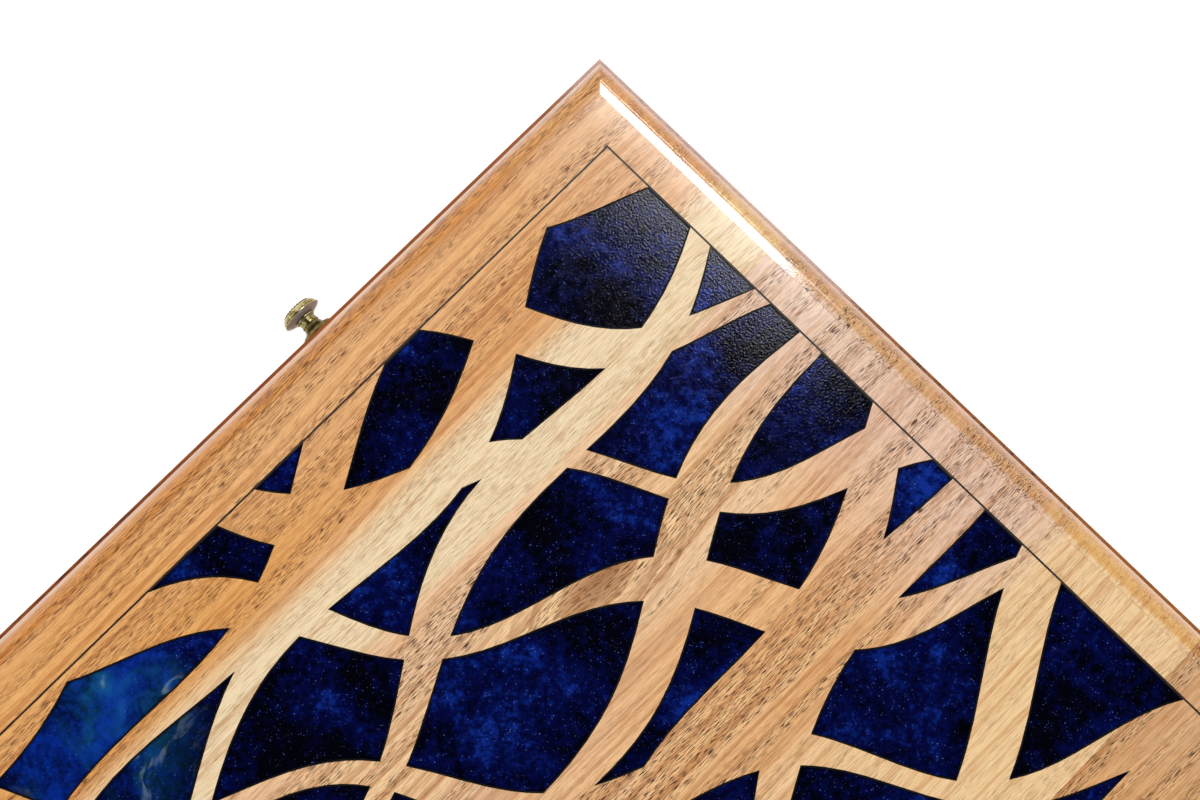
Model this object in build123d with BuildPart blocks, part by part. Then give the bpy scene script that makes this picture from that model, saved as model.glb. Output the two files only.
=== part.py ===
from build123d import *
import math
import os

# Folding backgammon case, closed, in millimetres. The origin is the centre of the underside, +Z is up.
# The front, with the knobs, faces -Y. The hinges are at the back, +Y. Both halves have the same walls.

# Case
case_length = 600.0
case_width = 300.0
half_height = 35.0
wall_thickness = 14.0
panel_thickness = 9.0
rim_gap = 0.2
rim_chamfer = 1.0

# Moulded edge of the outer panels, from the flat outwards: quirk, slope, round, lip
moulding_quirk = 0.3
moulding_slope_drop = 0.5
moulding_slope_width = 2.7
moulding_radius = 5.2
moulding_lip = 1.1

# Boards that each outer panel is glued up from, counted from the front
front_board_width = 77.0
back_board_width = 61.0

# Border line and resin cells
border_inset_long_edges = 22.0
border_inset_short_edges = 19.0
border_line_width = 0.6
border_line_depth = 1.2
cell_depth = 5.0
smallest_cell_area = 70.0

# Wood ribs between the cells: two families of wavy bands that cross each other
rising_angle = 14.0
rising_spacing = 34.0
rising_wave_length = 160.0
rising_wave_height = 8.0
rising_phase_step = 2.4
falling_angle = -42.0
falling_spacing = 42.0
falling_wave_length = 120.0
falling_wave_height = 8.0
falling_phase_step = 1.7
rib_width = 10.5
rib_swell = 0.45
rib_swell_pace = 0.7
rib_unevenness = 0.25
rib_shuffle = 1.9
rib_overrun = 20.0
rib_points_per_wave = 7

# Playing field and its points
field_thickness = 4.0
field_clearance = 0.2
field_margin = 1.0
point_count = 6
point_gap = 2.0
point_length = 225.0
point_depth = 1.5

# Hinges
hinge_spacing = 360.0
hinge_axis_offset = 0.5
knuckle_count = 5
knuckle_length = 8.0
knuckle_radius = 3.0
knuckle_side_gap = 0.2
knuckle_clearance = 0.4
leaf_thickness = 1.5
leaf_reach = 12.0
leaf_clearance = 0.1
pin_radius = 1.25
pin_clearance = 0.05
pin_head_radius = 2.0
pin_head_height = 0.8

# Hinge screws
hinge_screw_spacing = 13.0
hinge_screw_inset = 4.0
hinge_screw_radius = 1.4
hinge_screw_head_radius = 2.7
hinge_screw_length = 10.0
screw_clearance = 0.05
screw_slot_width = 0.7
screw_slot_depth = 0.5

# Magnets
magnet_spacing = 200.0
magnet_radius = 4.0
magnet_thickness = 3.0

# Knobs and their screws
knob_spacing = 371.0
knob_foot_radius = 5.75
knob_foot_thickness = 2.6
knob_flare_radius = 2.3
knob_stem_radius = 2.75
knob_stem_length = 2.5
knob_collar_radius = 3.3
knob_collar_length = 0.7
knob_head_radius = 6.3
knob_head_slope = 0.9
knob_rim_thickness = 0.3
knob_side_height = 2.4
knob_side_curve = 3.0
knob_face_radius = 4.9
knob_dome_height = 0.8
knob_bead_count = 18
knob_bead_radius = 0.55
knob_bead_circle_radius = 4.4
knob_screw_radius = 2.0
knob_screw_engagement = 6.0
knob_screw_head_radius = 3.9
knob_screw_head_height = 2.4
knob_screw_clearance = 0.15

# Sizes that follow from the ones above
case_height = 2 * half_height
half_length = case_length / 2
half_width = case_width / 2
rim_depth = half_height - rim_gap / 2
moulding_width = moulding_lip + moulding_radius + moulding_slope_width
moulding_drop = moulding_quirk + moulding_slope_drop + moulding_radius
border_length = case_length - 2 * border_inset_short_edges
border_width = case_width - 2 * border_inset_long_edges
hinge_axis_y = half_width + hinge_axis_offset
hinge_length = knuckle_count * knuckle_length
hinge_screw_y = hinge_axis_y - leaf_reach + hinge_screw_inset
knob_z = case_height - (half_height + panel_thickness) / 2 + panel_thickness / 2

halves = ("base", "lid")
sides = {"left": -1, "right": 1}


def inward(half):
    """Direction along Z from a half's outer face to its rim."""
    return 1 if half == "base" else -1


def height(half, depth):
    """Height of a point that lies depth below a half's outer face."""
    return depth if half == "base" else case_height - depth


def moulding_waste(half, plane, edge):
    """Section of the wood that the moulding takes off one edge of a panel."""
    outward = math.copysign(1, edge)
    overcut = moulding_lip

    def point(inset, depth):
        return (edge - outward * inset, height(half, depth))

    quarter = moulding_radius * math.sqrt(0.5)
    round_inset = moulding_lip + moulding_radius
    round_depth = moulding_quirk + moulding_slope_drop + moulding_radius
    round_start = point(round_inset, round_depth - moulding_radius)
    round_middle = point(round_inset - quarter, round_depth - quarter)
    round_end = point(moulding_lip, round_depth)
    with BuildSketch(plane) as waste:
        with BuildLine():
            Polyline(
                point(-overcut, -overcut),
                point(moulding_width, -overcut),
                point(moulding_width, moulding_quirk),
                round_start,
            )
            ThreePointArc(round_start, round_middle, round_end)
            Polyline(round_end, point(-overcut, moulding_drop), point(-overcut, -overcut))
        make_face()
    return waste.sketch


def border_ring(half):
    """The thin rectangle that frames the cells."""
    with BuildSketch(Plane.XY.offset(height(half, 0))) as ring:
        Rectangle(border_length + 2 * border_line_width, border_width + 2 * border_line_width)
        Rectangle(border_length, border_width, mode=Mode.SUBTRACT)
    return ring.sketch


def rib(offset, angle, wave_length, wave_height, phase):
    """One wavy band of wood across the panel, which swells and narrows on its way."""
    reach = math.hypot(border_length, border_width) / 2 + rib_overrun
    steps = math.ceil(2 * reach / wave_length * rib_points_per_wave)
    upper_side = []
    lower_side = []
    for step in range(steps + 1):
        along = reach * (2 * step / steps - 1)
        turn = 2 * math.pi * along / wave_length + phase
        middle = offset + wave_height * math.sin(turn)
        half_band = rib_width / 2 * (1 + rib_swell * math.sin(rib_swell_pace * turn + 2 * phase))
        upper_side.append(Vector(along, middle + half_band).rotate(Axis.Z, angle))
        lower_side.append(Vector(along, middle - half_band).rotate(Axis.Z, angle))
    with BuildSketch() as band:
        with BuildLine():
            Spline(*upper_side)
            Line(upper_side[-1], lower_side[-1])
            Spline(*lower_side)
            Line(lower_side[0], upper_side[0])
        make_face()
    return band.sketch


def rib_family(angle, spacing, wave_length, wave_height, phase_step):
    """Enough uneven ribs at one angle to cross the whole border rectangle."""
    turned = math.radians(angle)
    span = border_width * math.cos(turned) + border_length * abs(math.sin(turned))
    count = math.ceil(span / spacing)
    ribs = []
    for index in range(count):
        phase = phase_step * index
        offset = spacing * (index - (count - 1) / 2 + rib_unevenness * math.sin(rib_shuffle * phase))
        ribs.append(rib(offset, angle, wave_length, wave_height, phase))
    return ribs


def cell_faces():
    """Outlines of the resin cells: what the ribs leave of the border rectangle, without slivers."""
    with BuildSketch() as openwork:
        Rectangle(border_length, border_width)
        add(rib_family(rising_angle, rising_spacing, rising_wave_length, rising_wave_height,
                       rising_phase_step), mode=Mode.SUBTRACT)
        add(rib_family(falling_angle, falling_spacing, falling_wave_length, falling_wave_height,
                       falling_phase_step), mode=Mode.SUBTRACT)
    return openwork.faces().filter_by(lambda face: face.area > smallest_cell_area)


with BuildSketch(Plane.XY.offset(case_height)) as cells:
    add(cell_faces())


def make_board(half, place, low_y, high_y):
    """One walnut board of an outer panel, moulded on its outer edges, with its share of the grooves."""
    with BuildPart() as board:
        with BuildSketch(Plane.XY.offset(height(half, 0))):
            with Locations((0, (low_y + high_y) / 2)):
                Rectangle(case_length, high_y - low_y)
        extrude(amount=inward(half) * panel_thickness)
        for edge in (-half_width, half_width):
            extrude(moulding_waste(half, Plane.YZ, edge), amount=case_length, both=True, mode=Mode.SUBTRACT)
        for edge in (-half_length, half_length):
            extrude(moulding_waste(half, Plane.XZ, edge), amount=case_length, both=True, mode=Mode.SUBTRACT)
        extrude(border_ring(half), amount=inward(half) * border_line_depth, mode=Mode.SUBTRACT)
        if half == "lid":
            extrude(cells.sketch, amount=-cell_depth, mode=Mode.SUBTRACT)
    board.part.label = f"{half}_{place}_board"
    export_step(board.part, f"parts/{half}_{place}_board.step")


def make_border_line(half):
    """Dark filler of the thin groove round the cells."""
    with BuildPart() as line:
        extrude(border_ring(half), amount=inward(half) * border_line_depth)
    line.part.label = f"{half}_border_line"
    export_step(line.part, f"parts/{half}_border_line.step")


def make_resin_cells():
    """Blue resin that fills the cut-out cells of the lid, flush with the wood."""
    with BuildPart() as resin:
        extrude(cells.sketch, amount=-cell_depth)
    resin.part.label = "lid_resin_cells"
    export_step(resin.part, "parts/lid_resin_cells.step")


def wall_outline(side):
    """Corners of one mitred wall, seen from above, with the inner rim's two last."""
    inner_length = half_length - wall_thickness
    inner_width = half_width - wall_thickness
    outlines = {
        "front": ((-half_length, -half_width), (half_length, -half_width),
                  (inner_length, -inner_width), (-inner_length, -inner_width)),
        "back": ((half_length, half_width), (-half_length, half_width),
                 (-inner_length, inner_width), (inner_length, inner_width)),
        "left": ((-half_length, half_width), (-half_length, -half_width),
                 (-inner_length, -inner_width), (-inner_length, inner_width)),
        "right": ((half_length, -half_width), (half_length, half_width),
                  (inner_length, inner_width), (inner_length, -inner_width)),
    }
    return outlines[side]


def hinge_screw_places(half, hinge_x):
    """Where the screws of one leaf enter it, on the rim."""
    rim_z = height(half, rim_depth)
    return [(hinge_x + step * hinge_screw_spacing, hinge_screw_y, rim_z) for step in (-1, 0, 1)]


def along_x(x, y, z):
    """A plane across the X direction, for a round piece that runs along it."""
    return Plane(origin=(x, y, z), x_dir=(0, 1, 0), z_dir=(1, 0, 0))


def knob_section_plane(knob_x):
    """A plane through a knob's axis: its x runs outwards from the front wall, its y is the radius."""
    return Plane(origin=(knob_x, -half_width, knob_z), x_dir=(0, -1, 0), z_dir=(0, 0, 1))


def knob_axis(knob_x):
    return Axis((knob_x, -half_width, knob_z), (0, -1, 0))


def make_wall(half, side):
    """One mitred wall, with the pockets for the hinges, magnets and knob screws that it carries."""
    rim_z = height(half, rim_depth)
    into_wall = -inward(half)
    with BuildPart() as wall:
        with BuildSketch(Plane.XY.offset(height(half, panel_thickness))):
            with BuildLine():
                Polyline(*wall_outline(side), close=True)
            make_face()
        extrude(amount=inward(half) * (rim_depth - panel_thickness))
        rim_edges = wall.faces().sort_by(Axis.Z)[-1 if half == "base" else 0].edges()
        chamfer(rim_edges.sort_by_distance((0, 0, rim_z))[0], rim_chamfer)
        if side == "back":
            for hinge_x in (-hinge_spacing / 2, hinge_spacing / 2):
                with BuildSketch(Plane.XY.offset(rim_z)):
                    with Locations((hinge_x, hinge_axis_y - leaf_reach - leaf_clearance)):
                        Rectangle(hinge_length + 2 * leaf_clearance, leaf_reach + leaf_clearance,
                                  align=(Align.CENTER, Align.MIN))
                extrude(amount=into_wall * (leaf_thickness + leaf_clearance), mode=Mode.SUBTRACT)
                with BuildSketch(along_x(hinge_x, hinge_axis_y, half_height)):
                    Circle(knuckle_radius + knuckle_clearance)
                extrude(amount=hinge_length / 2 + pin_head_height + knuckle_clearance, both=True,
                        mode=Mode.SUBTRACT)
                with BuildSketch(Plane.XY.offset(rim_z)):
                    with Locations(*[place[:2] for place in hinge_screw_places(half, hinge_x)]):
                        Circle(hinge_screw_radius)
                extrude(amount=into_wall * hinge_screw_length, mode=Mode.SUBTRACT)
        if side == "front":
            with BuildSketch(Plane.XY.offset(rim_z)):
                with Locations(*magnet_places()):
                    Circle(magnet_radius)
            extrude(amount=into_wall * magnet_thickness, mode=Mode.SUBTRACT)
        if side == "front" and half == "lid":
            for knob_x in (-knob_spacing / 2, knob_spacing / 2):
                with BuildSketch(knob_section_plane(knob_x)):
                    with BuildLine():
                        Polyline(
                            (0, 0),
                            (-wall_thickness, 0),
                            (-wall_thickness, knob_screw_head_radius + knob_screw_clearance),
                            (knob_screw_head_height - wall_thickness, knob_screw_head_radius + knob_screw_clearance),
                            (knob_screw_head_height - wall_thickness, knob_screw_radius + knob_screw_clearance),
                            (0, knob_screw_radius + knob_screw_clearance),
                            close=True,
                        )
                    make_face()
                revolve(axis=knob_axis(knob_x), mode=Mode.SUBTRACT)
    wall.part.label = f"{half}_{side}_wall"
    export_step(wall.part, f"parts/{half}_{side}_wall.step")


def magnet_places():
    """Centres of the magnets in a front wall's rim."""
    middle_y = wall_thickness / 2 - half_width
    return [(-magnet_spacing / 2, middle_y), (magnet_spacing / 2, middle_y)]


def make_magnets(half):
    """Disc magnets glued flush into the front rim."""
    with BuildPart() as magnets:
        with BuildSketch(Plane.XY.offset(height(half, rim_depth))):
            with Locations(*magnet_places()):
                Circle(magnet_radius)
        extrude(amount=-inward(half) * magnet_thickness)
    magnets.part.label = f"{half}_magnets"
    export_step(magnets.part, f"parts/{half}_magnets.step")


def points(half, blue):
    """Outlines of the points of one colour, six at each end, whose colours alternate across the open board."""
    inner_width = case_width - 2 * wall_thickness
    end_x = half_length - wall_thickness - field_clearance - field_margin
    pitch = (inner_width - 2 * field_clearance - 2 * field_margin) / point_count
    base_half = (pitch - point_gap) / 2
    surface = height(half, panel_thickness + field_thickness)
    with BuildSketch(Plane.XY.offset(surface)) as outlines:
        for end, side in enumerate(sides.values()):
            for index in range(point_count):
                if ((index + end + halves.index(half)) % 2 == 0) != blue:
                    continue
                middle_y = pitch * (index - (point_count - 1) / 2)
                with BuildLine():
                    Polyline(
                        (side * end_x, middle_y - base_half),
                        (side * end_x, middle_y + base_half),
                        (side * (end_x - point_length), middle_y),
                        close=True,
                    )
                make_face()
    return outlines.sketch


def make_playing_field(half):
    """Thin board glued inside a half, with shallow pockets for the inlaid points."""
    with BuildPart() as field:
        with BuildSketch(Plane.XY.offset(height(half, panel_thickness))):
            Rectangle(case_length - 2 * (wall_thickness + field_clearance),
                      case_width - 2 * (wall_thickness + field_clearance))
        extrude(amount=inward(half) * field_thickness)
        for blue in (True, False):
            extrude(points(half, blue), amount=-inward(half) * point_depth, mode=Mode.SUBTRACT)
    field.part.label = f"{half}_playing_field"
    export_step(field.part, f"parts/{half}_playing_field.step")


def make_points(half, blue):
    """The inlaid points of one colour, flush with the playing field."""
    colour = "blue" if blue else "light"
    with BuildPart() as inlay:
        extrude(points(half, blue), amount=-inward(half) * point_depth)
    inlay.part.label = f"{half}_points_{colour}"
    export_step(inlay.part, f"parts/{half}_points_{colour}.step")


def knuckle_middle(hinge_x, index):
    """Middle of one of the places that the two leaves' knuckles share along the pin."""
    return hinge_x + knuckle_length * (index - (knuckle_count - 1) / 2)


def make_hinge_leaf(half, side):
    """One brass leaf let into the rim. The lid's leaf has the odd knuckle more."""
    hinge_x = sides[side] * hinge_spacing / 2
    rim_z = height(half, rim_depth)
    own_parity = 0 if half == "lid" else 1
    with BuildPart() as leaf:
        with BuildSketch(Plane.XY.offset(rim_z)):
            with Locations((hinge_x, hinge_axis_y)):
                Rectangle(hinge_length, leaf_reach, align=(Align.CENTER, Align.MAX))
        extrude(amount=-inward(half) * leaf_thickness)
        for index in range(knuckle_count):
            with BuildSketch(along_x(knuckle_middle(hinge_x, index), hinge_axis_y, half_height)) as knuckle:
                Circle(knuckle_radius if index % 2 == own_parity else knuckle_radius + knuckle_clearance)
            if index % 2 == own_parity:
                extrude(amount=(knuckle_length - knuckle_side_gap) / 2, both=True)
            else:
                extrude(amount=(knuckle_length + knuckle_side_gap) / 2, both=True, mode=Mode.SUBTRACT)
        with BuildSketch(along_x(hinge_x, hinge_axis_y, half_height)):
            Circle(pin_radius + pin_clearance)
        extrude(amount=hinge_length, both=True, mode=Mode.SUBTRACT)
        outside = Plane(origin=(0, 0, rim_z), z_dir=(0, 0, inward(half)))
        with Locations(*[outside * Pos(*outside.to_local_coords(Vector(*place)))
                         for place in hinge_screw_places(half, hinge_x)]):
            CounterSinkHole(hinge_screw_radius + screw_clearance, hinge_screw_head_radius + screw_clearance,
                            depth=2 * leaf_thickness, counter_sink_angle=90)
    leaf.part.label = f"{half}_hinge_leaf_{side}"
    export_step(leaf.part, f"parts/{half}_hinge_leaf_{side}.step")


def make_hinge_pin(side):
    """Brass pin through all the knuckles of one hinge, with a peened head at each end."""
    hinge_x = sides[side] * hinge_spacing / 2
    with BuildPart() as pin:
        with BuildSketch(along_x(hinge_x, hinge_axis_y, half_height)):
            Circle(pin_radius)
        extrude(amount=hinge_length / 2, both=True)
        for end in (-1, 1):
            with BuildSketch(along_x(hinge_x + end * hinge_length / 2, hinge_axis_y, half_height)):
                Circle(pin_head_radius)
            extrude(amount=end * pin_head_height)
    pin.part.label = f"hinge_pin_{side}"
    export_step(pin.part, f"parts/hinge_pin_{side}.step")


def make_hinge_screws(half):
    """Slotted countersunk screws that hold a half's two hinge leaves."""
    into_wall = -inward(half)
    head_height = hinge_screw_head_radius - hinge_screw_radius
    tip_length = 2 * hinge_screw_radius
    with BuildPart() as screw:
        with BuildSketch(Plane.XZ):
            with BuildLine():
                Polyline(
                    (0, 0),
                    (hinge_screw_head_radius, 0),
                    (hinge_screw_radius, into_wall * head_height),
                    (hinge_screw_radius, into_wall * (hinge_screw_length - tip_length)),
                    (0, into_wall * hinge_screw_length),
                    close=True,
                )
            make_face()
        revolve(axis=Axis.Z)
        with BuildSketch(Plane.XY):
            Rectangle(2 * hinge_screw_head_radius, screw_slot_width)
        extrude(amount=into_wall * screw_slot_depth, mode=Mode.SUBTRACT)
    with BuildPart() as screws:
        for hinge_x in (-hinge_spacing / 2, hinge_spacing / 2):
            with Locations(*hinge_screw_places(half, hinge_x)):
                add(screw.part)
    screws.part.label = f"{half}_hinge_screws"
    export_step(screws.part, f"parts/{half}_hinge_screws.step")


def make_knob(side):
    """Turned brass knob: a foot that flares from the stem, a collar, and a head with a beaded face."""
    knob_x = sides[side] * knob_spacing / 2
    flare_end = knob_foot_thickness + knob_flare_radius
    flare_centre_radius = knob_stem_radius + knob_flare_radius
    quarter = knob_flare_radius * math.sqrt(0.5)
    collar_start = flare_end + knob_stem_length
    head_start = collar_start + knob_collar_length
    rim_start = head_start + knob_head_slope
    side_start = rim_start + knob_rim_thickness
    face_start = side_start + knob_side_height
    knob_length = face_start + knob_dome_height
    dome_radius = (knob_face_radius**2 + knob_dome_height**2) / (2 * knob_dome_height)
    bead_place = knob_length - dome_radius + math.sqrt(dome_radius**2 - knob_bead_circle_radius**2)
    with BuildPart() as knob:
        with BuildSketch(knob_section_plane(knob_x)):
            with BuildLine():
                Polyline(
                    (knob_screw_engagement, 0),
                    (knob_screw_engagement, knob_screw_radius),
                    (0, knob_screw_radius),
                    (0, knob_foot_radius),
                    (knob_foot_thickness, knob_foot_radius),
                    (knob_foot_thickness, flare_centre_radius),
                )
                ThreePointArc(
                    (knob_foot_thickness, flare_centre_radius),
                    (flare_end - quarter, flare_centre_radius - quarter),
                    (flare_end, knob_stem_radius),
                )
                Polyline(
                    (flare_end, knob_stem_radius),
                    (collar_start, knob_stem_radius),
                    (collar_start, knob_collar_radius),
                    (head_start, knob_collar_radius),
                    (rim_start, knob_head_radius),
                    (side_start, knob_head_radius),
                )
                RadiusArc((side_start, knob_head_radius), (face_start, knob_face_radius), knob_side_curve)
                RadiusArc((face_start, knob_face_radius), (knob_length, 0), dome_radius)
                Line((knob_length, 0), (knob_screw_engagement, 0))
            make_face()
        revolve(axis=knob_axis(knob_x))
        with Locations(Plane(origin=(knob_x, -half_width - bead_place, knob_z), z_dir=(0, -1, 0))):
            with PolarLocations(knob_bead_circle_radius, knob_bead_count):
                Sphere(knob_bead_radius)
    knob.part.label = f"knob_{side}"
    export_step(knob.part, f"parts/knob_{side}.step")


def make_knob_screws():
    """Cheese-head screws let into the inside of the lid's front wall, one for each knob."""
    with BuildPart() as screws:
        for knob_x in (-knob_spacing / 2, knob_spacing / 2):
            with BuildSketch(knob_section_plane(knob_x)):
                with BuildLine():
                    Polyline(
                        (-wall_thickness, 0),
                        (-wall_thickness, knob_screw_head_radius),
                        (knob_screw_head_height - wall_thickness, knob_screw_head_radius),
                        (knob_screw_head_height - wall_thickness, knob_screw_radius),
                        (knob_screw_engagement, knob_screw_radius),
                        (knob_screw_engagement, 0),
                        close=True,
                    )
                make_face()
            revolve(axis=knob_axis(knob_x))
            with BuildSketch(Plane(origin=(knob_x, wall_thickness - half_width, knob_z), z_dir=(0, -1, 0))):
                Rectangle(screw_slot_width, 2 * knob_screw_head_radius)
            extrude(amount=2 * screw_slot_depth, mode=Mode.SUBTRACT)
    screws.part.label = "knob_screws"
    export_step(screws.part, "parts/knob_screws.step")


os.makedirs("parts", exist_ok=True)
front_joint_y = front_board_width - half_width
back_joint_y = half_width - back_board_width
for half in halves:
    make_board(half, "front", -half_width, front_joint_y)
    make_board(half, "middle", front_joint_y, back_joint_y)
    make_board(half, "back", back_joint_y, half_width)
    make_border_line(half)
    for side in ("front", "back", "left", "right"):
        make_wall(half, side)
    make_playing_field(half)
    make_points(half, True)
    make_points(half, False)
    make_magnets(half)
    make_hinge_screws(half)
    for side in sides:
        make_hinge_leaf(half, side)
make_resin_cells()
for side in sides:
    make_hinge_pin(side)
    make_knob(side)
make_knob_screws()
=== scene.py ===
import math
import bpy
from mathutils import Matrix, Vector


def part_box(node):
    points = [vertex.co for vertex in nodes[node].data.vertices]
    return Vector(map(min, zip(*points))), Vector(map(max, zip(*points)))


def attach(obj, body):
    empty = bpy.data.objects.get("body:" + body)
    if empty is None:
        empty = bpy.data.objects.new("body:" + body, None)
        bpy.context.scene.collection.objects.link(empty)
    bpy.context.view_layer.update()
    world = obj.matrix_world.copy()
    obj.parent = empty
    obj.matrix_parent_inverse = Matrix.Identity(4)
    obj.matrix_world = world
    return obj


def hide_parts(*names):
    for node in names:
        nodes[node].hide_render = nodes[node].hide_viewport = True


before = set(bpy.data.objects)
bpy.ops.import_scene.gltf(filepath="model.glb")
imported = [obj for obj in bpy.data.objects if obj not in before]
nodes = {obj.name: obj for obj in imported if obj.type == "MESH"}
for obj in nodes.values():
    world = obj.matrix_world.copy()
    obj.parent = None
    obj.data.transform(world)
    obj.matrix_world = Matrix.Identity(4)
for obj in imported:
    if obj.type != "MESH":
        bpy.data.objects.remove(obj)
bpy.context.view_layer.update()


# Walnut boards
# Each panel is glued up from three boards of solid walnut, planed, moulded round the edge and sprayed
# with satin lacquer. The front and middle boards keep a strip of pale sapwood, and the middle one a knot.
half_length, half_width = 0.300, 0.150
grain_drift, grain_ripple = 0.024, 0.0028
years_per_metre = 230.0
pore_relief = 0.00005
streak_stain, fibre_stain, end_grain_stain = "d2a670", "c4955e", "e4c08c"
knot_heart, knot_rings = "8c5830", "a06230"
# The pink tone is a painted reflection in the lacquer on the moulding's roundover.
amber_tone, lip_tone, crease_tone, painted_sheen_tone = "ecd090", "bf8c50", "7a4a26", "e0bba6"
# Distances in from the panel's edge at which each tint of the moulding starts, is full, fades and ends.
amber_from_edge = (0.0022, 0.0042, 0.0066, 0.0082)
painted_sheen_from_edge = (0.0010, 0.0014, 0.0020, 0.0040)
lip_from_edge = (0.0008, 0.0012)
crease_from_edge, crease_width = 0.0011, (0.0001, 0.0005)
crown_from_edge, crown_reach, crown_fall = 0.0063, 0.0028, 3.0e5
edge_waver = 0.0016
lacquer, lacquer_roughness = 0.9, 0.08


def start_material(name):
    material = bpy.data.materials.new(name)
    material.use_nodes = True
    tree = material.node_tree
    return material, tree, tree.nodes["Principled BSDF"]


def set_input(tree, socket, value):
    """Links a socket to another, or sets its number or colour."""
    if isinstance(value, bpy.types.NodeSocket):
        tree.links.new(value, socket)
    else:
        socket.default_value = value


def own_place(tree, kind="Object"):
    return tree.nodes.new("ShaderNodeTexCoord").outputs[kind]


def moved(tree, source, scale=(1, 1, 1), turn=(0, 0, 0)):
    node = tree.nodes.new("ShaderNodeMapping")
    node.inputs["Scale"].default_value = scale
    node.inputs["Rotation"].default_value = turn
    tree.links.new(source, node.inputs["Vector"])
    return node.outputs["Vector"]


def parts(tree, vector):
    node = tree.nodes.new("ShaderNodeSeparateXYZ")
    tree.links.new(vector, node.inputs["Vector"])
    return node.outputs


def joined(tree, *values):
    node = tree.nodes.new("ShaderNodeCombineXYZ")
    for socket, value in zip(node.inputs, values):
        set_input(tree, socket, value)
    return node.outputs["Vector"]


def cloud(tree, source, per_metre, detail=2.0, roughness=0.5, warp=0.0):
    """Soft noise with so many billows to the metre each way."""
    node = tree.nodes.new("ShaderNodeTexNoise")
    node.inputs["Scale"].default_value = 1.0
    node.inputs["Detail"].default_value = detail
    node.inputs["Roughness"].default_value = roughness
    node.inputs["Distortion"].default_value = warp
    tree.links.new(moved(tree, source, scale=per_metre), node.inputs["Vector"])
    return node.outputs["Fac"]


def reckon(tree, operation, first, second=0.0):
    node = tree.nodes.new("ShaderNodeMath")
    node.operation = operation
    set_input(tree, node.inputs[0], first)
    set_input(tree, node.inputs[1], second)
    return node.outputs["Value"]


def plus(tree, first, second):
    return reckon(tree, "ADD", first, second)


def minus(tree, first, second):
    return reckon(tree, "SUBTRACT", first, second)


def times(tree, first, *others):
    for other in others:
        first = reckon(tree, "MULTIPLY", first, other)
    return first


def size_of(tree, value):
    return reckon(tree, "ABSOLUTE", value)


def rise(tree, value, low, high, start=0.0, end=1.0):
    """Goes smoothly from start to end while the value goes from low to high."""
    node = tree.nodes.new("ShaderNodeMapRange")
    node.interpolation_type = "SMOOTHSTEP"
    for socket, number in (("From Min", low), ("From Max", high), ("To Min", start), ("To Max", end)):
        node.inputs[socket].default_value = number
    tree.links.new(value, node.inputs["Value"])
    return node.outputs["Result"]


def band(tree, value, start, full, fade, end, most=1.0):
    """Rises to most between start and full, and falls away between fade and end."""
    return times(tree, rise(tree, value, start, full, 0.0, most), rise(tree, value, fade, end, 1.0, 0.0))


def mixed(tree, share, first, second, way="MIX"):
    """Two colours mixed. Sockets 6, 7 and 2 of the node are those that carry colours."""
    node = tree.nodes.new("ShaderNodeMix")
    node.data_type = "RGBA"
    node.blend_type = way
    set_input(tree, node.inputs[0], share)
    set_input(tree, node.inputs[6], first)
    set_input(tree, node.inputs[7], second)
    return node.outputs[2]


def stained(tree, share, colour, stain):
    return mixed(tree, share, colour, paint(stain), "MULTIPLY")


def bumped(tree, heights, distance, shader, strength):
    node = tree.nodes.new("ShaderNodeBump")
    node.inputs["Strength"].default_value = strength
    node.inputs["Distance"].default_value = distance
    tree.links.new(heights, node.inputs["Height"])
    tree.links.new(node.outputs["Normal"], shader.inputs["Normal"])


def paint(hex_colour):
    """A colour as it shows on the screen, turned into the light values that a shader takes."""
    shown = [int(hex_colour[i:i + 2], 16) / 255 for i in (0, 2, 4)]
    return tuple(p / 12.92 if p <= 0.04045 else ((p + 0.055) / 1.055) ** 2.4 for p in shown) + (1.0,)


def dress(names, material):
    for name in names:
        for slot in nodes[name].material_slots:
            slot.material = material


def moulded_edge(tree, along, side, streaks, colour, relief):
    """Colours the moulding by the distance in from the panel's edge, with a painted reflection on its
    roundover, and crowns its slope a little.
    """
    inset = reckon(tree, "MINIMUM", minus(tree, half_length, size_of(tree, along)),
                   minus(tree, half_width, size_of(tree, side)))
    rim = plus(tree, inset, times(tree, minus(tree, streaks, 0.5), edge_waver))
    # Darker amber along the slope of the moulding, and a darker orange lip.
    amber = band(tree, rim, *amber_from_edge)
    colour = stained(tree, times(tree, amber, 0.8), colour, amber_tone)
    # Painted reflection: the roundover is mixed toward pink where its lacquer would catch the bright room.
    painted_sheen = band(tree, rim, *painted_sheen_from_edge)
    colour = mixed(tree, times(tree, painted_sheen, 0.55), colour, paint(painted_sheen_tone))
    colour = stained(tree, rise(tree, inset, *lip_from_edge, 1.0, 0.0), colour, lip_tone)
    crease = rise(tree, size_of(tree, minus(tree, rim, crease_from_edge)), *crease_width, 0.5, 0.0)
    colour = mixed(tree, crease, colour, paint(crease_tone))
    from_crown = reckon(tree, "MINIMUM", size_of(tree, minus(tree, inset, crown_from_edge)), crown_reach)
    return colour, minus(tree, relief, times(tree, from_crown, from_crown, crown_fall))


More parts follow.
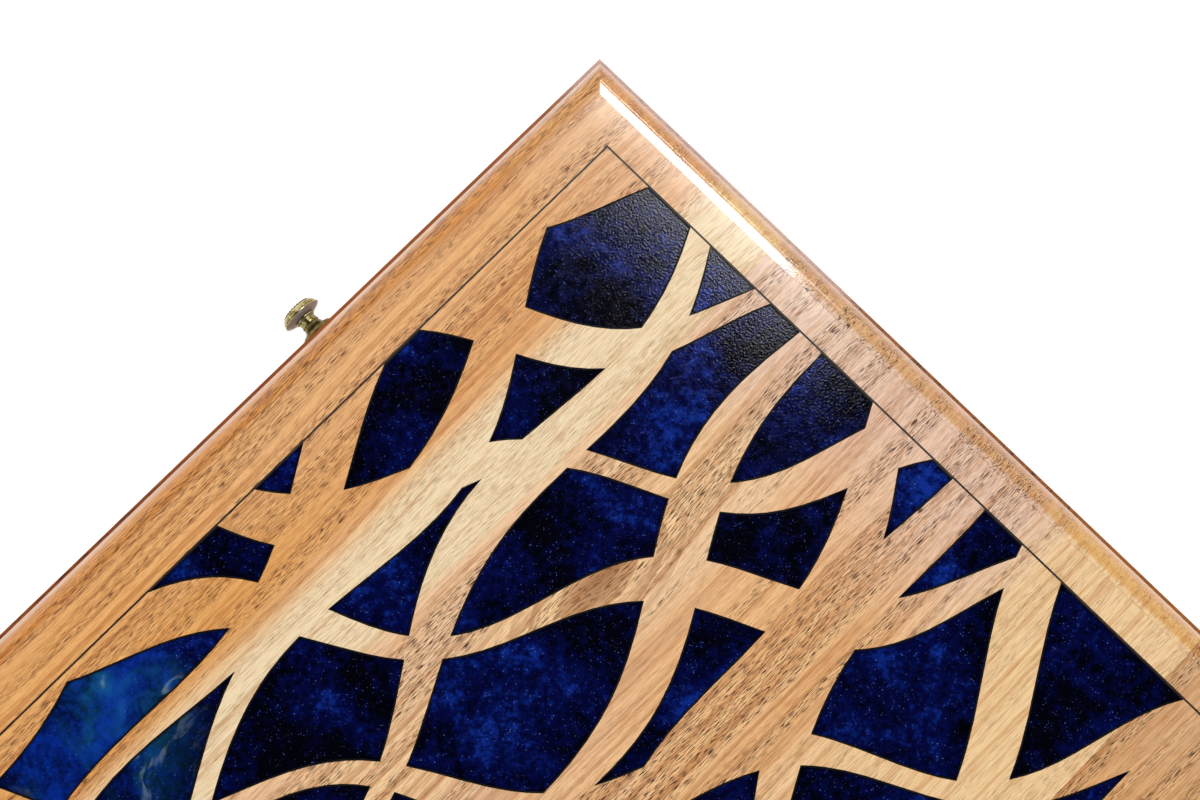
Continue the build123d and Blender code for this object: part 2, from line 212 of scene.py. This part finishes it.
def walnut(name, tones, seed, pore_share, rosy=None, sap=None, knot=None, across=False, moulded=False):
    """Lacquered walnut. Its tones are pale and middle wood, the dark lines of the years, and pores."""
    material, tree, shader = start_material(name)
    pale, middle, dark, pore = (paint(tone) for tone in tones)
    turn = (0, 0, math.pi / 2) if across else (0, 0, 0)
    place = moved(tree, own_place(tree), turn=turn)
    along, side, depth = parts(tree, place)

    # The grain runs along the board. It drifts and ripples, and bends round the knot.
    drawn = side
    if knot:
        centre, reach, pull = knot
        off = minus(tree, side, centre[1])
        far_along = reckon(tree, "DIVIDE", minus(tree, along, centre[0]), reach[0])
        far_aside = reckon(tree, "DIVIDE", off, reach[1])
        from_knot = plus(tree, times(tree, far_along, far_along), times(tree, far_aside, far_aside))
        near_knot = reckon(tree, "POWER", math.e, times(tree, from_knot, -1.0))
        drawn = minus(tree, side, times(tree, near_knot, pull, off))
    drift = cloud(tree, place, (3.0, 7.0, 7.0))
    ripple = cloud(tree, place, (16.0, 40.0, 40.0), 1.0)
    drawn = plus(tree, drawn, times(tree, drift, grain_drift))
    drawn = plus(tree, drawn, times(tree, ripple, grain_ripple))
    grain = joined(tree, plus(tree, along, seed), drawn, depth)

    # Broad tones and narrower bands, and a dark line where each year's growth ends
    broad = cloud(tree, grain, (1.5, 34.0, 34.0))
    colour = mixed(tree, rise(tree, broad, 0.38, 0.62), pale, middle)
    bands = cloud(tree, grain, (2.2, 150.0, 150.0), 3.0, 0.6)
    colour = mixed(tree, rise(tree, bands, 0.50, 0.74, 0.0, 0.5), colour, dark)
    year = reckon(tree, "FRACT", plus(tree, times(tree, drawn, years_per_metre), times(tree, broad, 2.5)))
    clearness = rise(tree, cloud(tree, grain, (5.0, 22.0, 22.0), 1.0), 0.38, 0.62, 0.15, 0.65)
    colour = mixed(tree, times(tree, band(tree, year, 0.45, 0.93, 0.93, 1.0), clearness), colour, dark)
    if rosy:
        patches = rise(tree, cloud(tree, grain, (4.0, 20.0, 20.0)), 0.40, 0.62, 0.0, 0.25)
        # Both ends of each board turn rosier too, a painted sheen of the lacquer near the ends.
        ends = plus(tree, size_of(tree, along), times(tree, ripple, 0.02))
        ends = rise(tree, ends, 0.235, 0.295, 0.0, 0.65)
        colour = mixed(tree, reckon(tree, "MAXIMUM", patches, ends), colour, paint(rosy))
    if sap:
        sap_tone, low, high, soft = sap
        edge = plus(tree, side, times(tree, minus(tree, drift, 0.5), 0.014))
        sap_share = band(tree, edge, low - soft, low + soft, high - soft, high + soft, most=0.92)
        colour = mixed(tree, sap_share, colour, paint(sap_tone))

    # Streaks and fine fibres, and the open pores that lie along them in crowds
    streaks = cloud(tree, grain, (10.0, 520.0, 520.0), 2.0, 0.6)
    colour = stained(tree, rise(tree, streaks, 0.30, 0.52, 0.50, 0.0), colour, streak_stain)
    fibres = cloud(tree, grain, (140.0, 2500.0, 2500.0), 2.0, 0.65)
    colour = stained(tree, rise(tree, fibres, 0.36, 0.52, 0.42, 0.0), colour, fibre_stain)
    lines = rise(tree, cloud(tree, grain, (75.0, 4200.0, 4200.0), 1.0), 0.58, 0.68)
    crowds = rise(tree, cloud(tree, grain, (5.0, 170.0, 170.0)), 0.42, 0.58, 0.18, 1.0)
    dashes = rise(tree, cloud(tree, grain, (300.0, 4600.0, 4600.0), 1.0), 0.53, 0.60)
    crowds = times(tree, crowds, pore_share)
    if sap:
        crowds = times(tree, crowds, rise(tree, sap_share, 0.0, 1.0, 1.0, 0.35))
    colour = mixed(tree, times(tree, lines, crowds, 0.6), colour, dark)
    pores = times(tree, dashes, crowds)
    colour = mixed(tree, pores, colour, pore)
    if knot:
        heart = rise(tree, plus(tree, from_knot, times(tree, streaks, 0.4)), 0.10, 0.50, 0.75, 0.0)
        colour = mixed(tree, heart, colour, paint(knot_heart))
        ring = reckon(tree, "FRACT", plus(tree, times(tree, from_knot, 1.6), times(tree, broad, 1.5)))
        swirl = times(tree, band(tree, ring, 0.3, 0.9, 0.9, 1.0), rise(tree, from_knot, 0.6, 2.6, 0.5, 0.0))
        colour = mixed(tree, swirl, colour, paint(knot_rings))
    relief = minus(tree, fibres, pores)
    if moulded:
        colour, relief = moulded_edge(tree, along, side, streaks, colour, relief)

    # Ends take up more stain than faces, and the lacquer is a thin clear coat over it all.
    facing = parts(tree, moved(tree, own_place(tree, "Normal"), turn=turn))
    end_grain = rise(tree, size_of(tree, facing["X"]), 0.25, 0.8, 0.0, 0.6)
    colour = stained(tree, end_grain, colour, end_grain_stain)
    tree.links.new(colour, shader.inputs["Base Color"])
    tree.links.new(rise(tree, fibres, 0.2, 0.8, 0.42, 0.56), shader.inputs["Roughness"])
    shader.inputs["Specular IOR Level"].default_value = 0.3
    shader.inputs["Coat Weight"].default_value = lacquer
    shader.inputs["Coat Roughness"].default_value = lacquer_roughness
    bumped(tree, relief, pore_relief, shader, 0.7)
    return material


# A sap strip is its tone, from where to where it lies across the panel, and how soft its edges are.
# A knot is where it lies, how far it reaches along and across the grain, and how hard it bends the grain.
front_board = walnut("walnut_front_board", ("f6b974", "ecaa5e", "c27e3a", "7a4826"),
                     seed=0.3, pore_share=0.95, rosy="f4cba4",
                     sap=("fae5be", -0.099, -0.060, 0.005), moulded=True)
middle_board = walnut("walnut_middle_board", ("fcd3a0", "f6c38a", "bd7e46", "58341c"),
                      seed=1.7, pore_share=1.0, rosy="efd2c4",
                      sap=("f8d4a0", 0.036, 0.12, 0.010),
                      knot=((-0.190, -0.041), (0.026, 0.012), 0.75), moulded=True)
back_board = walnut("walnut_back_board", ("f4bf80", "e6ab6a", "b3773a", "5c3a1c"),
                    seed=3.1, pore_share=0.95, rosy="e0b890", moulded=True)
for half in ("base", "lid"):
    dress([half + "_front_board"], front_board)
    dress([half + "_middle_board"], middle_board)
    dress([half + "_back_board"], back_board)


# Walls
# Walnut bars of a darker tree, mitred at the corners and glued round the panels, lacquered alike.
# Their grain runs along each wall.
wall_tones = ("e0ae76", "cf965c", "a8703a", "5a381c")
long_wall = walnut("walnut_long_walls", wall_tones, seed=5.2, pore_share=0.7)
short_wall = walnut("walnut_short_walls", wall_tones, seed=6.4, pore_share=0.7, across=True)
for half in ("base", "lid"):
    dress((half + "_front_wall", half + "_back_wall"), long_wall)
    dress((half + "_left_wall", half + "_right_wall"), short_wall)


# Playing field
# A thin board of dark walnut glued into each half, under the same satin lacquer.
# The points are let into it.
field_board = walnut("walnut_field", ("a5754a", "8b5c38", "684425", "3a2212"), seed=8.8, pore_share=0.7)
dress(("lid_playing_field", "base_playing_field"), field_board)


# Light points
# Long triangles of pale close-grained wood, glued into pockets in the field and sanded flush.
# They take turns with the blue points.
light_points = walnut("maple_points", ("f0d8aa", "e6c892", "d6b07a", "a98152"), seed=9.9, pore_share=0.3)
dress(("lid_points_light", "base_points_light"), light_points)


# Blue resin
# Epoxy with blue pigment and fine glitter, poured into the cells of the lid and the blue points, and
# rubbed down. In the lid it lies a hair below the wood, darkened at the rim by painted shade where the
# cell walls are near, and with pale wisps to the left.
resin_sink = 0.00005
flakes_per_metre = 2600.0
rim_reach = 0.0018
orange_peel = 0.00004
same_corner = 1e-6
same_height = 1e-5
resin_black, resin_deep, resin_bright, rim_shade_black = "000008", "020840", "0e2f90", "00000a"
flake_dark, flake_light = "1c3fb4", "7f9be0"
clear_blue, turquoise, milk = "05309a", "2484b2", "c8e4ee"


def lid_wisps(tree, place, depth, colour):
    """Clear blue at the left front, with turquoise pools and milky veins drifting in it."""
    x, y, _ = parts(tree, place)
    zone = rise(tree, minus(tree, x, times(tree, y, 0.7)), -0.03, 0.03)
    clearness = times(tree, zone, rise(tree, depth, 0.40, 0.60, 0.1, 0.7))
    colour = mixed(tree, clearness, colour, paint(clear_blue))
    zone = times(tree, zone, rise(tree, cloud(tree, place, (7.0, 7.0, 7.0), 1.0), 0.42, 0.60))
    swirl = cloud(tree, place, (20.0, 20.0, 20.0), 4.0, 0.6, 1.4)
    drift = cloud(tree, place, (150.0, 150.0, 150.0), 3.0, 0.6, 1.0)
    pool = times(tree, rise(tree, swirl, 0.46, 0.62), zone, rise(tree, drift, 0.30, 0.60, 0.25, 1.0))
    colour = mixed(tree, times(tree, pool, 0.9), colour, paint(turquoise))
    vein = rise(tree, size_of(tree, minus(tree, swirl, 0.60)), 0.0, 0.030, 1.0, 0.0)
    vein = times(tree, vein, rise(tree, drift, 0.40, 0.58), zone)
    return mixed(tree, times(tree, vein, 0.95), colour, paint(milk))


def rim_painted_shade(tree, mottle):
    """Painted shade: dark where the walls of the cell are near, as looked for inside the resin."""
    shade = tree.nodes.new("ShaderNodeAmbientOcclusion")
    shade.inside = True
    shade.only_local = True
    shade.samples = 8
    shade.inputs["Distance"].default_value = rim_reach
    return rise(tree, plus(tree, shade.outputs["AO"], times(tree, mottle, 0.25)), 0.70, 1.02, 0.95, 0.0)


def blue_resin(name, in_lid=False):
    material, tree, shader = start_material(name)
    place = own_place(tree)
    billow = cloud(tree, place, (30.0, 30.0, 30.0), 3.0, 0.55, 0.8)
    mottle = cloud(tree, place, (420.0, 420.0, 420.0), 4.0, 0.7)
    depth = plus(tree, times(tree, billow, 0.6), times(tree, mottle, 0.4))
    colour = mixed(tree, rise(tree, depth, 0.42, 0.58), paint(resin_black), paint(resin_deep))
    colour = mixed(tree, rise(tree, depth, 0.54, 0.67, 0.0, 0.9), colour, paint(resin_bright))
    glitter = tree.nodes.new("ShaderNodeTexVoronoi")
    glitter.inputs["Scale"].default_value = flakes_per_metre
    tree.links.new(place, glitter.inputs["Vector"])
    lot = tree.nodes.new("ShaderNodeSeparateColor")
    tree.links.new(glitter.outputs["Color"], lot.inputs["Color"])
    flake = times(tree, rise(tree, lot.outputs["Red"], 0.88, 1.0),
                  rise(tree, glitter.outputs["Distance"], 0.15, 0.45, 1.0, 0.0),
                  rise(tree, mottle, 0.42, 0.62, 0.25, 1.0))
    flake_tone = mixed(tree, lot.outputs["Green"], paint(flake_dark), paint(flake_light))
    colour = mixed(tree, flake, colour, flake_tone)
    if in_lid:
        colour = lid_wisps(tree, place, depth, colour)
        # Painted shade of the cell walls darkens the resin round its rim.
        colour = mixed(tree, rim_painted_shade(tree, mottle), colour, paint(rim_shade_black))
    tree.links.new(colour, shader.inputs["Base Color"])
    tree.links.new(rise(tree, mottle, 0.3, 0.7, 0.07, 0.12), shader.inputs["Roughness"])
    bumped(tree, cloud(tree, place, (1500.0, 1500.0, 1500.0)), orange_peel, shader, 0.8)
    return material


def select_none():
    bpy.ops.object.select_all(action="DESELECT")


def copy_of_node(node, name):
    """A copy of a CAD node with a mesh of its own, its corners merged and nothing of it selected."""
    select_none()
    piece = nodes[node].copy()
    piece.data = nodes[node].data.copy()
    piece.name = name
    piece.parent = None
    piece.hide_render = piece.hide_viewport = False
    for key in list(piece.keys()):
        del piece[key]
    bpy.context.scene.collection.objects.link(piece)
    bpy.context.view_layer.objects.active = piece
    piece.select_set(True)
    bpy.ops.object.mode_set(mode="EDIT")
    bpy.ops.mesh.select_mode(type="VERT")
    bpy.ops.mesh.select_all(action="SELECT")
    bpy.ops.mesh.remove_doubles(threshold=same_corner)
    bpy.ops.mesh.select_all(action="DESELECT")
    bpy.ops.object.mode_set(mode="OBJECT")
    return piece


top_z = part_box("lid_resin_cells")[1].z
near_top = top_z - same_height
resin = copy_of_node("lid_resin_cells", "resin_cells")
for vertex in resin.data.vertices:
    vertex.select = vertex.co.z > near_top
bpy.ops.object.mode_set(mode="EDIT")
bpy.ops.transform.translate(value=(0, 0, -resin_sink))
bpy.ops.object.mode_set(mode="OBJECT")
resin.data.materials.clear()
resin.data.materials.append(blue_resin("blue_glitter_resin", in_lid=True))
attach(resin, "lid")
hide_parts("lid_resin_cells")
dress(("lid_points_blue", "base_points_blue"), blue_resin("blue_points_resin"))


# Scorched line round each cell
# Walnut charred by the cutter, which left a thin black edge that shows through the rim of the resin.
# It is a flat ribbon along each cell's outline, between the resin and the surface of the wood.
scorch_width = 0.0011
scorch_thickness = 0.00001


def charred(name, dark, light, per_metre, roughness):
    material, tree, shader = start_material(name)
    char = cloud(tree, own_place(tree), (per_metre, per_metre, per_metre), 3.0)
    colour = mixed(tree, rise(tree, char, 0.4, 0.7), paint(dark), paint(light))
    tree.links.new(colour, shader.inputs["Base Color"])
    shader.inputs["Roughness"].default_value = roughness
    return material, shader


scorch = copy_of_node("lid_resin_cells", "scorched_edges")
bpy.ops.object.mode_set(mode="EDIT")
bpy.ops.mesh.select_mode(type="FACE")
bpy.ops.object.mode_set(mode="OBJECT")
for face in scorch.data.polygons:
    face.select = not (face.normal.z > 0.9 and face.center.z > near_top)
bpy.ops.object.mode_set(mode="EDIT")
bpy.ops.mesh.delete(type="FACE")
bpy.ops.mesh.select_all(action="SELECT")
bpy.ops.mesh.region_to_loop()
bpy.ops.mesh.select_mode(type="EDGE")
bpy.ops.mesh.select_all(action="INVERT")
bpy.ops.mesh.delete(type="EDGE")
bpy.ops.object.mode_set(mode="OBJECT")
bpy.ops.object.convert(target="CURVE")
scorch.data.bevel_depth = scorch_width / 2
scorch.data.bevel_resolution = 0
bpy.ops.object.convert(target="MESH")
bpy.ops.object.shade_flat()
bpy.ops.object.mode_set(mode="EDIT")
bpy.ops.mesh.select_all(action="SELECT")
bpy.ops.transform.resize(value=(1, 1, scorch_thickness / scorch_width), center_override=(0, 0, top_z))
bpy.ops.transform.translate(value=(0, 0, -resin_sink / 2))
bpy.ops.object.mode_set(mode="OBJECT")
scorched_wood, shader = charred("scorched_wood", "020202", "0e0a07", 900.0, 0.5)
shader.inputs["Specular IOR Level"].default_value = 0.15
scorch.data.materials.clear()
scorch.data.materials.append(scorched_wood)
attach(scorch, "lid")


# Border line
# A narrow groove ruled round the cells, and round the bottom panel too.
# It is filled with dark wood filler and sanded flush.
border_filler, _ = charred("border_line", "140c08", "3a2416", 400.0, 0.4)
dress(("lid_border_line", "base_border_line"), border_filler)


# Knobs
# Cast brass pulls with an antique finish, dark in the hollows with patina and painted shade, and pale on
# the rims where the brass is rubbed, with a painted highlight as well. Each has a flared foot against the
# wall, a stem with a collar, and a head whose face is ringed with beads.
mm = 0.001
foot_radius = 5.3
corners = 64
# Each pair is a distance from the wall and the knob's radius there, in mm.
foot_and_stem = (
    (0.35, 5.70), (1.10, 5.78), (1.25, 5.62), (1.45, 5.62), (1.55, 5.74), (1.90, 5.72), (2.20, 5.55),
    (2.30, 5.20), (2.75, 5.05), (2.90, 4.50), (3.20, 3.90), (3.60, 3.45), (4.10, 3.10), (4.70, 2.85),
    (5.15, 2.78), (5.30, 2.95), (5.50, 2.95), (5.62, 2.74), (7.10, 2.70), (7.25, 3.00), (7.45, 3.25),
    (7.80, 3.25), (8.00, 3.00))
head = (
    (8.05, 3.50), (8.30, 4.60), (8.65, 5.60), (8.90, 6.15), (9.05, 6.30), (9.25, 6.30), (9.34, 6.12),
    (9.38, 5.92), (9.50, 5.92), (9.60, 6.02), (10.05, 5.94), (10.50, 5.70), (10.90, 5.36), (11.12, 5.08),
    (11.15, 4.92), (11.00, 4.80), (10.75, 4.76))
face = (
    (10.75, 4.10), (11.05, 3.98), (11.40, 3.50), (11.75, 2.70), (11.98, 1.70), (12.08, 0.80))
bead_count = 28
bead_radius = 0.50
bead_ring = 4.4
bead_height = 11.20
bead_segments, bead_rows = 12, 8
sharp_edge = math.radians(35)
# Painted shade on foot and stem, darker towards the wall: where it grows, in mm out from the wall, and its
# tone.
stem_shade_end, stem_shade_start = 7.0, 3.0
stem_shade_tone = "54461f"


def brass(name, tones, grain_size, hollow, rubbed_and_highlight=None, underside_reflection=None, stem_shade_span=None):
    """Brass with tarnish in patches, and hollows darkened as painted shade, patina too on the antique
    knobs. Its tones are bright, dull and dark.
    """
    material, tree, shader = start_material(name)
    bright, dull, dark = (paint(tone) for tone in tones)
    place = own_place(tree)
    tarnish = cloud(tree, place, (1 / grain_size, 1 / grain_size, 1 / grain_size), 3.0, 0.65)
    colour = mixed(tree, rise(tree, tarnish, 0.36, 0.60), bright, dull)
    # Painted shade: occlusion darkens the hollows.
    shadow = tree.nodes.new("ShaderNodeAmbientOcclusion")
    shadow.inputs["Distance"].default_value = hollow
    shadow.samples = 8
    openness = plus(tree, shadow.outputs["AO"], times(tree, tarnish, 0.3))
    colour = mixed(tree, rise(tree, openness, 0.55, 1.05, 0.9, 0.0), colour, dark)
    if rubbed_and_highlight:
        # Pale on the sharp rims: rubbed brass, with a painted highlight as well.
        edge = tree.nodes.new("ShaderNodeNewGeometry").outputs["Pointiness"]
        colour = mixed(tree, rise(tree, edge, 0.54, 0.62, 0.0, 0.8), colour, paint(rubbed_and_highlight))
    plating = 1.0
    if underside_reflection:
        # Painted reflection: the side towards the wall is turned grey and less metallic, for the pale room
        # seen in its underside. Foot and stem are painted darker towards the wall, as painted shade under
        # the head.
        wall_side = rise(tree, parts(tree, own_place(tree, "Normal"))["Y"], 0.70, 0.88)
        reflected_grey = mixed(tree, 0.2, paint(underside_reflection), colour)
        colour = mixed(tree, times(tree, wall_side, 0.9), colour, reflected_grey)
        # Painted shade: foot and stem darken towards the wall, under the head.
        stem_shade = plus(tree, parts(tree, place)["Y"], times(tree, tarnish, 0.003))
        stem_shade = times(tree, rise(tree, stem_shade, *stem_shade_span, 0.0, 0.75), minus(tree, 1.0, wall_side))
        colour = mixed(tree, stem_shade, colour, paint(stem_shade_tone))
        plating = minus(tree, 1.0, times(tree, wall_side, 0.75))
    tree.links.new(colour, shader.inputs["Base Color"])
    tree.links.new(rise(tree, tarnish, 0.3, 0.7, 0.20, 0.40), shader.inputs["Roughness"])
    set_input(tree, shader.inputs["Metallic"], plating)
    bumped(tree, cloud(tree, place, (2500.0, 2500.0, 2500.0)), 0.00002, shader, 0.5)
    return material


low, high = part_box("knob_left")
knob_x, wall_face, knob_z = (low.x + high.x) / 2, high.y, (low.z + high.z) / 2
antique_brass = brass("antique_brass", ("cfc288", "84733f", "1c160c"), 0.0013, 0.0026, rubbed_and_highlight="efe8c4",
                      underside_reflection="aeb0c2", stem_shade_span=(wall_face - stem_shade_end * mm, wall_face - stem_shade_start * mm))
blackened_brass = brass("blackened_brass", ("8c8052", "3c341e", "0c0a06"), 0.0008, 0.0012)
select_none()
bpy.ops.mesh.primitive_circle_add(vertices=corners, radius=foot_radius * mm,
                                  location=(knob_x, wall_face, knob_z), rotation=(math.pi / 2, 0, 0))
left_knob = bpy.context.active_object
left_knob.name = "left_knob"
bpy.ops.object.transform_apply(location=True, rotation=True)
bpy.ops.object.mode_set(mode="EDIT")
bpy.ops.mesh.select_all(action="SELECT")
distance, radius = 0.0, foot_radius
for next_distance, next_radius in foot_and_stem + head + face:
    bpy.ops.mesh.extrude_region_move(
        TRANSFORM_OT_translate={"value": (0, (distance - next_distance) * mm, 0)})
    grow = next_radius / radius
    bpy.ops.transform.resize(value=(grow, 1, grow), center_override=(knob_x, wall_face, knob_z))
    distance, radius = next_distance, next_radius
bpy.ops.mesh.merge(type="CENTER")
bpy.ops.mesh.select_all(action="DESELECT")
bpy.ops.mesh.select_non_manifold()
bpy.ops.mesh.edge_face_add()
bpy.ops.mesh.select_all(action="SELECT")
bpy.ops.mesh.normals_make_consistent(inside=False)
bpy.ops.object.mode_set(mode="OBJECT")
bpy.ops.object.shade_smooth_by_angle(angle=sharp_edge)
left_knob.data.materials.append(antique_brass)
for bead in range(bead_count):
    angle = 2 * math.pi * bead / bead_count
    bpy.ops.mesh.primitive_uv_sphere_add(
        segments=bead_segments, ring_count=bead_rows, radius=bead_radius * mm,
        location=(knob_x + bead_ring * mm * math.cos(angle), wall_face - bead_height * mm,
                  knob_z + bead_ring * mm * math.sin(angle)))
    bpy.ops.object.shade_smooth()
    bpy.context.active_object.data.materials.append(blackened_brass)
    left_knob.select_set(True)
    bpy.context.view_layer.objects.active = left_knob
    bpy.ops.object.join()
bpy.ops.object.duplicate()
right_knob = bpy.context.active_object
right_knob.name = "right_knob"
right_low, right_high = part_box("knob_right")
bpy.ops.transform.translate(value=((right_low.x + right_high.x) / 2 - knob_x, 0, 0))
bpy.ops.object.transform_apply(location=True)
for piece, node in ((left_knob, "knob_left"), (right_knob, "knob_right")):
    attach(piece, "lid")
    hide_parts(node)


# Hinges and screws
# Pressed brass leaves with rolled knuckles on brass pins, lightly brushed, let into the back walls.
# Slotted countersunk brass screws hold them, and longer ones hold the knobs from inside.
hinge_brass = brass("hinge_brass", ("d9b872", "b8924e", "3c2c14"), 0.004, 0.001)
dress([half + "_hinge_leaf_" + side for half in ("base", "lid") for side in ("left", "right")], hinge_brass)
dress(("hinge_pin_left", "hinge_pin_right", "base_hinge_screws", "lid_hinge_screws", "knob_screws"),
      brass("screw_brass", ("d3b16c", "ac8646", "2c200f"), 0.0015, 0.0006))


# Magnets
# Nickel plated steel discs, pressed and glued into holes in the rims of the front walls.
# They meet face to face and hold the case shut.
magnet_nickel, tree, shader = start_material("magnet_nickel")
scuffs = cloud(tree, own_place(tree), (1800.0, 400.0, 400.0), 3.0)
tree.links.new(mixed(tree, rise(tree, scuffs, 0.35, 0.65), paint("b9b7b0"), paint("8f8d88")),
               shader.inputs["Base Color"])
tree.links.new(rise(tree, scuffs, 0.3, 0.7, 0.18, 0.35), shader.inputs["Roughness"])
shader.inputs["Metallic"].default_value = 1.0
dress(("base_magnets", "lid_magnets"), magnet_nickel)


# Floor
# A plain pale sweep under the case, not part of it. It lies a hair below the underside, and glows
# only for the camera, reflections and clear things, so that it shows white.
floor_size = 30.0
floor_gap = 0.0002
floor_grey = 0.90
floor_glow = 0.42
select_none()
bpy.ops.mesh.primitive_plane_add(size=floor_size, location=(0, 0, -floor_gap))
floor = bpy.context.active_object
floor.name = "floor"
floor_paint, tree, shader = start_material("floor_paint")
shader.inputs["Base Color"].default_value = (floor_grey, floor_grey, floor_grey, 1.0)
shader.inputs["Roughness"].default_value = 0.9
shader.inputs["Specular IOR Level"].default_value = 0.1
light_path = tree.nodes.new("ShaderNodeLightPath").outputs
seen = reckon(tree, "MAXIMUM", light_path["Is Glossy Ray"], light_path["Is Transmission Ray"])
seen = reckon(tree, "MAXIMUM", light_path["Is Camera Ray"], seen)
shader.inputs["Emission Color"].default_value = (1.0, 1.0, 1.0, 1.0)
set_input(tree, shader.inputs["Emission Strength"], times(tree, seen, floor_glow))
floor.data.materials.append(floor_paint)


# Light
# Bright walls all round under a dark ceiling, which keeps the resin deep blue. A soft box beyond the
# left end greys the resin by the corner, and a narrow one draws the white line on the moulding.
wall_light = (1.15, 1.15, 1.15, 1.0)
ceiling_light = (0.02, 0.02, 0.02, 1.0)
left_end = (-0.290, -0.10, 0.07)
lid_centre = (0.0, 0.0, 0.07)


def soft_box(name, direction, aim, distance, across, along, brightness):
    """A lamp of even brightness, where 1 looks white, that stands off in a direction from its aim."""
    lamp = bpy.data.lights.new(name, "AREA")
    lamp.shape = "RECTANGLE"
    lamp.size = across
    lamp.size_y = along
    lamp.energy = brightness * math.pi * across * along
    box = bpy.data.objects.new(name, lamp)
    back = Vector(direction).normalized()
    across_axis = Vector((0, 1, 0)).cross(back).normalized()
    turned = Matrix((across_axis, back.cross(across_axis), back)).transposed().to_4x4()
    box.matrix_world = Matrix.Translation(Vector(aim) + back * distance) @ turned
    box.visible_camera = False
    bpy.context.scene.collection.objects.link(box)


studio = bpy.data.worlds.new("studio")
bpy.context.scene.world = studio
studio.use_nodes = True
tree = studio.node_tree
background = tree.nodes["Background"]
sky = rise(tree, parts(tree, own_place(tree, "Generated"))["Z"], 0.60, 0.90)
tree.links.new(mixed(tree, sky, wall_light, ceiling_light), background.inputs["Color"])
background.inputs["Strength"].default_value = 1.0
soft_box("moulding_light", direction=(-0.560, -0.172, 0.805), aim=left_end, distance=1.5,
         across=0.06, along=0.29, brightness=34.0)
soft_box("corner_light", direction=(-0.330, -0.220, 0.91), aim=left_end, distance=1.5,
         across=0.36, along=0.56, brightness=8.5)
soft_box("fill_light", direction=(0.60, 0.50, 0.62), aim=lid_centre, distance=2.0,
         across=1.0, along=1.0, brightness=2.0)


# Camera
# It looks down on the closed case as the photograph does, from above its front left quarter and about
# ten degrees off the vertical, with the corner of the lid at the top of the picture.
camera_place = Vector((-0.14563, -0.00061, 0.68292))
camera_aim = Vector((-0.22691, -0.07726, 0.07))
picture_up = Vector((-0.69729, -0.69401, 0.17926))
lens_length = 66.0
nearest_seen = 0.01
camera_back = (camera_place - camera_aim).normalized()
camera_right = picture_up.cross(camera_back).normalized()
camera_up = camera_back.cross(camera_right)
lens = bpy.data.cameras.new("camera")
lens.lens = lens_length
lens.clip_start = nearest_seen
camera = bpy.data.objects.new("camera", lens)
camera.matrix_world = (Matrix.Translation(camera_place)
                       @ Matrix((camera_right, camera_up, camera_back)).transposed().to_4x4())
bpy.context.scene.collection.objects.link(camera)
bpy.context.scene.camera = camera
bpy.context.scene.view_settings.view_transform = "Standard"
